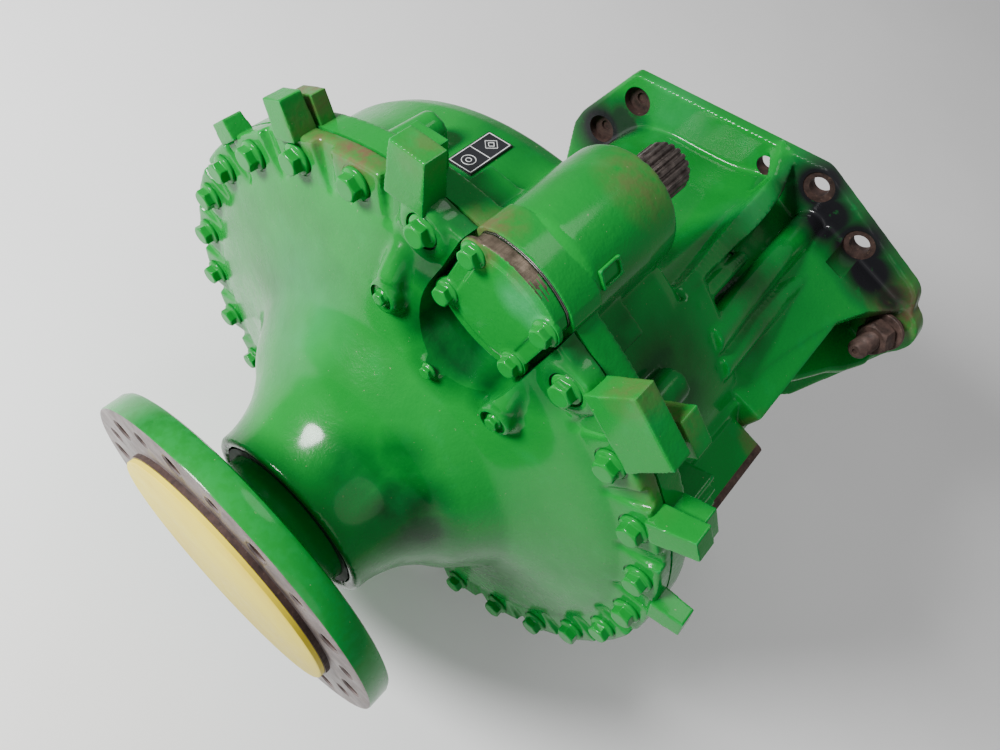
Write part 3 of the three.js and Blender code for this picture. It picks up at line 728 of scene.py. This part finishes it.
def cover():
    dome = catmull(DOME, 4, closed=False)
    shell = lathe([(90, NECK_END_Y), *dome, (RIM_R - 2, COVER_SEAT_Y), (RIM_R, COVER_SEAT_Y + 2),
                   (RIM_R, JOINT_Y), *COVER_INSIDE, (90, -600)], 160)
    plug_bosses = [bar((x, PLUG_BOSS_Y, z), (x * 0.94, -470, z), 16.5, 32, 20) for x, z in PLUGS]
    plug_bosses += [bar((x - 4, -508, z + 12), (x - 14, -484, z + 36), 13.5, 32, 15) for x, z in PLUGS]
    x, z = SMALL_PLUG
    small_boss = bar((x, PLUG_BOSS_Y, z), (x, -495, z - 3), 10, 24, 15)
    notch_bosses = [bar((x, -492, z), (x, -470, z), 24, 32, 26) for x, z in bolt_places[:2]]
    wall = make("notch_wall", notch_wall(), CAST_GREEN)
    under_dome = [(0, -660), *dome, (RIM_R - 2, COVER_SEAT_Y), (RIM_R - 2, JOINT_Y), (0, JOINT_Y)]
    machine(wall, [lathe(under_dome, 160)], CAST_GREEN, "INTERSECT")
    body = make("cover_casting", joined(shell, *plug_bosses, small_boss, *notch_bosses), CAST_GREEN)
    join_meshes(body, wall)
    fuse(body, VOXEL, 2)
    machine(body, [joined(*[scallop(deg) for deg in bolt_angles[:-1]])], CAST_GREEN)
    fuse(body, VOXEL, 2)
    attach(body, [part for lug in COVER_LUGS for part in cover_lug(*lug)])
    machine(body, [notch_cutter(), box(-400, 400, JOINT_Y - 0.5, -400, -400, 400)], CAST_GREEN)
    machine(body, [
        joined(*[rod(16.8, -560, COVER_SEAT_Y, x, z, 40) for x, z in bolt_places]),
        joined(*[rod(13, -560, PLUG_SEAT_Y, x, z, 32) for x, z in PLUGS]),
        lathe([(0, -700), (90.5, -700), (90.5, -636), (88, -634), (88, -560), (0, -560)], 96),
    ], CAST_GREEN)
    for name, spots in COVER_STAINS_AND_LIGHT.items():
        mark(body, name, spots)
    shade(body, 38)
    finish_piece(body, "housing", "green_paint", "front_cover")


def rim_spot(r, deg, y, radius, strength):
    """A rust spot at a polar place on the cover."""
    x, z = polar(r, deg)
    return x, y, z, radius, strength


COVER_STAINS_AND_LIGHT = {
    "grease": [(-70, -470, 330, 34, 0.5), (66, -470, 318, 34, 0.8)],
    "rust": [rim_spot(380, -18, -476, 26, 0.4), rim_spot(352, -30, -476, 44, 0.9),
             rim_spot(352, -37, -476, 36, 0.7), rim_spot(376, 18, -476, 30, 0.5),
             rim_spot(350, 34, -480, 34, 0.4), (0, -650, -96, 50, 0.7), (0, -590, -120, 40, 0.3)],
    # painted sheen: a pale patch standing in for the broad highlight on the dome
    "painted_sheen": [(-150, -540, 120, 90, 0.4)],
    # painted shade: dark patches standing in for the shadowed notch round the cap and a dark reflection band
    # on the dome
    "painted_shade": [(70, -585, 108, 56, 0.9), (100, -582, 84, 50, 0.9), (16, -600, 116, 50, 0.7),
             (36, -575, 140, 40, 0.6), (0, -484, 214, 52, 1), (-40, -484, 230, 48, 1),
             (44, -484, 232, 44, 1), (-62, -480, 280, 44, 0.8), (62, -480, 280, 40, 0.7)],
}


def scallop(deg):
    """The pocket in the rim between two bolts, narrow towards the dome."""
    middle = deg + math.copysign(BOLT_STEP / 2, deg)
    tip, rim = 284, RIM_R + 14
    loops = []
    for r, half, y in ((tip, 3, -499), (tip + 16, 10, -487), (rim, 22, -477)):
        loops.append([(-half, -540, r), (half, -540, r), (half * 0.6, y, r), (-half * 0.6, y, r)])
    return turned(rings(loops), middle)


def notch_loop(y, half, low):
    """A U-shaped line round the pinion cap, open at the top."""
    foot = low + half
    turns = [math.radians(a) for a in range(0, 181, 10)]
    arc = [(half * math.cos(t), y, foot - half * math.sin(t)) for t in turns]
    return [(half, y, 470), *arc, (-half, y, 470)]


def notch_cutter():
    return rings([notch_loop(-760, NOTCH_HALF, 150),
                  notch_loop(-522, NOTCH_HALF, NOTCH_LOW - 6),
                  notch_loop(-500, NOTCH_HALF - 0.5, NOTCH_LOW),
                  notch_loop(-460, NOTCH_HALF - 2, NOTCH_LOW + 16)])


def notch_wall():
    """The wall that closes the cover round the pinion boss."""
    outer = notch_loop(0, NOTCH_HALF + 14, NOTCH_LOW - 18)
    return prism([(x, min(z, 322)) for x, _, z in outer], -530, JOINT_Y)


# ---- pinion cap ----------------------------------------------------------------------------
def on_turned_edge(x, y, z, normal):
    """The bare part of the cap's rim, with a ragged end."""
    ragged = 14 + 7 * math.sin(1.3 * y) + 4 * math.sin(3.1 * y)
    return abs(normal.y) < 0.5 and y > CAP_FACE_Y + 1 and z > CENTRES + 30 and x < ragged


def cap():
    disc = barrel_prism(CAP_SHAPE, CAP_FACE_Y + 0.8, BOSS_FACE_Y - 2.5)
    raised = barrel_prism((34, 46, 80), CAP_FACE_Y - 0.6, CAP_FACE_Y + 2)
    ears = [rod(13.5, CAP_FACE_Y - 1.2, CAP_FACE_Y + 4, x, z) for x, z in cap_bolt_places]
    body = make("pinion_cap_casting", joined(disc, raised, *ears), CAST_GREEN)
    fuse(body, 1.0, 3)
    seats = joined(*[rod(12.2, -560, CAP_FACE_Y, x, z, 40) for x, z in cap_bolt_places])
    machine(body, [seats], CAST_GREEN)
    paint_faces(body, TURNED, on_turned_edge)
    mark(body, "rust", [(-40, CAP_FACE_Y, CENTRES + 40, 22, 0.9), (0, CAP_FACE_Y, CENTRES + 55, 16, 0.5)])
    # painted sheen: pale patches standing in for a highlight on the cap face
    mark(body, "painted_sheen", [(8, CAP_FACE_Y, CENTRES + 36, 26, 0.9), (24, CAP_FACE_Y, CENTRES + 34, 20, 0.8)])
    shade(body, 40)
    finish_piece(body, "housing", "green_paint", "pinion_cap")

    leaves = [barrel_prism(tuple(v + d for v in CAP_SHAPE), y, y + 0.5)
              for d, y in ((0.3, BOSS_FACE_Y - 2.2), (-0.4, BOSS_FACE_Y - 1.6), (0.5, BOSS_FACE_Y - 0.9))]
    shims = make("cap_shims", joined(*leaves), STEEL, 30)
    finish_piece(shims, "housing", "machined_steel", "cap_shim_pack")


# ---- fasteners -----------------------------------------------------------------------------
def head_mesh(name, across, height, material, flange=0.72):
    """A painted hex flange head with its seat at y = 0 and its top towards -Y."""
    corner = across / math.sqrt(3)
    hexagon = [polar(corner, 60 * i) for i in range(6)]
    head = make(name, prism(hexagon, -height, -2), material)
    dome = lathe([(0, -height), (across * 0.46, -height), (corner * 1.02, -height + across * 0.1),
                  (corner * 1.02, 1), (0, 1)], 64)
    machine(head, [dome], material, "INTERSECT")
    washer = lathe([(0, -height * 0.36), (across * 0.56, -height * 0.34),
                    (across * (flange - 0.02), -height * 0.24), (across * flange, -height * 0.17),
                    (across * flange, 0), (0, 0)], 64)
    machine(head, [washer], material, "UNION")
    fuse(head, FINE_VOXEL, 2)
    shade(head, 60)
    return head


def fasteners():
    big = head_mesh("bolt_big", 21, 14.4, BOLT_GREEN)
    small = head_mesh("bolt_cap", 17, 11.5, BOLT_GREEN)
    plug = head_mesh("bolt_plug", 12, 7.5, BOLT_GREEN, 0.66)
    rows = [(big, f"cover_bolt_{i + 1:02d}", x, COVER_SEAT_Y, z, 17 * i)
            for i, (x, z) in enumerate(bolt_places)]
    rows += [(small, f"cap_bolt_{i + 1}", x, CAP_FACE_Y, z, 11 * i)
             for i, (x, z) in enumerate(cap_bolt_places)]
    rows += [(plug, f"cover_plug_{i + 1}", x, PLUG_SEAT_Y, z, 20 * i) for i, (x, z) in enumerate(PLUGS)]
    rows.append((plug, "cover_plug_3", SMALL_PLUG[0], PLUG_BOSS_Y, SMALL_PLUG[1], 10))
    for head, node, x, y, z, turn in rows:
        piece = bpy.data.objects.new("head_" + node, head.data)
        bpy.context.scene.collection.objects.link(piece)
        piece.matrix_world = (Matrix.Translation((x * MM, y * MM, z * MM))
                              @ Matrix.Rotation(math.radians(turn), 4, "Y"))
        finish_piece(piece, "housing", "green_fasteners", node)
    for head in (big, small, plug):
        bpy.data.objects.remove(head)


# ---- output flange -------------------------------------------------------------------------
def flange():
    face = FLANGE_FACE_Y
    back = face + FLANGE_T
    profile = [(0, face - 6), (PILOT_R, face - 6), (PILOT_R, face - 0.6), (PILOT_R + 1, face),
               (FLANGE_R - 2, face), (FLANGE_R - 0.6, face + 0.6), (FLANGE_R, face + 2),
               (FLANGE_R, back - 6), (FLANGE_R - 2, back - 2), (FLANGE_R - 7, back), (112, back + 2),
               (96, back + 5), (86, back + 12), (HUB_R, back + 22), (HUB_R, -632), (70, -628),
               (55, -624), (55, -340), (45, -338), (45, -258), (0, -258)]
    body = make("wheel_flange", lathe(profile, 180), HUB_GREEN)
    holes = []
    for i in range(20):
        x, z = polar(STUD_CIRCLE, 5 + 18 * i)
        r = 8 if i % 2 else 11
        holes.append(lathe([(0, face - 9), (r + 1.4, face - 9), (r + 1.4, face + 0.1), (r, face + 1.5),
                            (r, face + 40), (0, face + 40)], 32, x, z))
    machine(body, [joined(*holes)], BORE_RUST)
    paint_faces(body, BARE_FACE, lambda x, y, z, n: y < face + 1.4 and n.y < -0.4)
    paint_faces(body, BORE_RUST, lambda x, y, z, n: y < face - 0.2 and abs(n.y) < 0.5)
    mark(body, "grease", [(0, -650, -HUB_R, 60, 0.8)])
    shade(body, 32)
    finish_piece(body, "output_hub", "hub_paint", "output_flange_shaft")

    edge = PILOT_R - 1.5
    seat = face - 6.3
    rim = [(0, PILOT_Y), (edge - 1.5, PILOT_Y), (edge, PILOT_Y + 1.2), (edge, seat), (0, seat)]
    disc = make("pilot_face", lathe(rim, 128), YELLOW, 40)
    finish_piece(disc, "output_hub", "yellow_paint", "pilot_disc")


# ---- input pinion --------------------------------------------------------------------------
def involute_teeth(module, teeth, pressure=25.0, thinning=0.6):
    """The outline of a spur gear."""
    a0 = math.radians(pressure)
    pitch = module * teeth / 2
    base, tip, root = pitch * math.cos(a0), pitch + module, pitch - 1.3 * module
    half0 = (math.pi * module / 2 - thinning) / (2 * pitch) + math.tan(a0) - a0

    def half(r):
        a = math.acos(min(1, base / max(r, base)))
        return half0 - (math.tan(a) - a)

    radii = [root] + [max(base, root) + (tip - max(base, root)) * k / 4 for k in range(5)]
    out = []
    for i in range(teeth):
        middle = 360 * i / teeth
        out += [polar(r, middle - math.degrees(half(r))) for r in radii]
        out += [polar(r, middle + math.degrees(half(r))) for r in reversed(radii)]
    return out


def spline_loop(scale, y):
    loop = []
    for i in range(SPLINE_TEETH):
        for r, share in ((SPLINE_ROOT, 0), (SPLINE_ROOT, 0.22), (SPLINE_TIP - 0.6, 0.36), (SPLINE_TIP, 0.44),
                         (SPLINE_TIP, 0.78), (SPLINE_TIP - 0.6, 0.86)):
            x, z = polar(r * scale, 360 * (i + share) / SPLINE_TEETH)
            loop.append((x, y, z))
    return loop


def pinion():
    end = -236
    steps = [(0.80, -292), (0.97, -286), (1, -280), (1, end - 4), (0.93, end)]
    stub = rings([spline_loop(scale, y) for scale, y in steps])
    shaft = lathe([(0, -481), (24, -481), (25, -480), (25, -451.5), (34, -449.5), (34, -352), (25, -350),
                   (25, -318), (22, -315), (20, end - 2), (0, end - 2)], 64)
    recess = lathe([(0, end - 6), (9, end - 6), (13, end + 2), (0, end + 2)], 40)
    body = make("pinion_shaft", shaft, STEEL)
    machine(body, [prism(involute_teeth(7, 13), -448, -352)], STEEL, "UNION")
    machine(body, [stub], SPLINE, "UNION")
    machine(body, [recess], SPLINE)
    body.data.transform(Matrix.Translation((0, 0, CENTRES * MM)))
    shade(body, 25)
    finish_piece(body, "input_shaft", "machined_steel", "input_pinion")


# ---- stud, label ---------------------------------------------------------------------------
def stud_frame():
    """The matrix that lays a part made along -Y on the tilted stud, foot at the origin."""
    foot = Vector(STUD_FOOT) * MM
    along = (Vector(STUD_END) - Vector(STUD_FOOT)).normalized()
    return Matrix.Translation(foot) @ Vector((0, -1, 0)).rotation_difference(along).to_matrix().to_4x4()


def thread_rod(r, y0, y1, pitch=2.5):
    profile = [(0, y0), (r - 5, y0), (r - 2, y0 + 3), (r - 1.2, y0 + 5)]
    y = y0 + 5
    while y < y1 - pitch:
        profile += [(r, y + pitch / 2), (r - 1.2, y + pitch)]
        y += pitch
    return lathe(profile + [(0, y1)], 40)


def stud_set():
    length = (Vector(STUD_END) - Vector(STUD_FOOT)).length
    stud = make("stud_bar", thread_rod(12, -length, -2), RUST)
    machine(stud, [rod(3, -length - 5, -length + 2, 0, 0, 16)], BORE_RUST)
    nut = make("stud_nut_hex", prism([polar(21, 60 * i + 12) for i in range(6)], -62, -40), RUST)
    chamfer = [(0, -62), (17.4, -62), (21.6, -58), (21.6, -44), (17.4, -40), (0, -40)]
    machine(nut, [lathe(chamfer, 64)], RUST, "INTERSECT")
    machine(nut, [rod(12.3, -90, -10, 0, 0, 40)], RUST)
    ring = [(12.6, -36), (23, -36), (24, -35), (24, -31), (12.6, -31)]
    washer = make("stud_washer_ring", lathe(ring, 64), RUST)
    for obj, node, angle in ((stud, "mount_stud", 40), (nut, "stud_nut", 30), (washer, "stud_washer", 30)):
        obj.data.transform(stud_frame())
        shade(obj, angle)
        finish_piece(obj, "housing", "rusty_steel", node)


def label():
    """A black plate with a white frame, a divider and two invented marks."""
    deg, r, y0, y1, half = -22.7, DRUM_R + 1.9, -402, -345.5, 14
    base = radial_block(DRUM_R - 0.6, r, deg, half * 2, y0, y1)
    plate = make("label_base", base, LABEL, 30)
    finish_piece(plate, "housing", "label_black", "label_plate")

    def strip(x0, x1, a, b):
        return turned(box(x0, x1, a, b, r, r + 0.15), deg)

    def loop(cx, cy, radius, n, width=0.7):
        pts = [(cx + radius * math.cos(2 * math.pi * i / n), cy + radius * math.sin(2 * math.pi * i / n))
               for i in range(n + 1)]
        return [turned(bar((*p, r + 0.1), (*q, r + 0.1), width / 2, 8), deg) for p, q in zip(pts, pts[1:])]

    edge = half - 1.2
    ink = [strip(-edge, -edge + 0.8, y0 + 1, y1 - 1), strip(edge - 0.8, edge, y0 + 1, y1 - 1),
           strip(-edge, edge, y0 + 1, y0 + 1.8), strip(-edge, edge, y1 - 1.8, y1 - 1),
           strip(-edge, edge, (y0 + y1) / 2 - 0.4, (y0 + y1) / 2 + 0.4)]
    ink += loop(0, y0 + 13, 6.5, 24) + loop(0, y0 + 13, 2.6, 16)
    ink += loop(0, y1 - 13, 7.5, 4) + loop(0, y1 - 13, 3.5, 4)
    marks = make("label_marks", joined(*ink), INK, 30)
    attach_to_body(marks, "housing")


# ---- set -----------------------------------------------------------------------------------
CAMERA = {"place": (0.04317, -0.81469, 0.82357), "right": (0.67265, 0.64697, 0.35912),
          "up": (-0.73994, 0.58516, 0.33178), "back": (0.00451, -0.48890, 0.87233)}


def camera():
    data = bpy.data.cameras.new("camera")
    data.lens, data.sensor_width, data.sensor_fit = 27.94, 36, "HORIZONTAL"
    cam = bpy.data.objects.new("camera", data)
    bpy.context.scene.collection.objects.link(cam)
    axes = Matrix([CAMERA[k] for k in ("right", "up", "back")]).transposed()
    cam.matrix_world = Matrix.Translation(CAMERA["place"]) @ axes.to_4x4()
    bpy.context.scene.camera = cam


def area_light(name, place, target, size, power, color=(1, 1, 1)):
    data = bpy.data.lights.new(name, "AREA")
    data.shape, data.size, data.energy, data.color = "DISK", size, power, color
    lamp = bpy.data.objects.new(name, data)
    bpy.context.scene.collection.objects.link(lamp)
    lamp.location = place
    lamp.rotation_euler = (Vector(target) - Vector(place)).to_track_quat("-Z", "Y").to_euler()


def studio():
    low = cad_box[0].z
    floor = make("floor", box(-4000, 4000, -4000, 4000, low / MM - 22, low / MM - 2))
    f = Finish("floor_white", Specular_IOR_Level=0.2)
    tone = f.mix(f.range(f.noise(400, 3), 0.3, 0.7), (0.86, 0.86, 0.86), (0.9, 0.9, 0.9))
    floor.data.materials.append(f.done(tone, 0.85))
    world = bpy.data.worlds.new("studio")
    world.use_nodes = True
    background = world.node_tree.nodes["Background"]
    background.inputs[0].default_value = (1, 1, 1, 1)
    background.inputs[1].default_value = 0.34
    bpy.context.scene.world = world
    middle = (0.05, -0.35, 0.05)
    area_light("key", (-1.30, -1.66, 1.26), middle, 0.7, 104)
    area_light("fill", (1.3, -1.5, 1.5), middle, 1.7, 7)
    area_light("top", (-0.5, 0.7, 2.2), middle, 1.0, 9)


dress_cad_nodes()
housing()
cover()
cap()
fasteners()
flange()
pinion()
stud_set()
label()
camera()
studio()
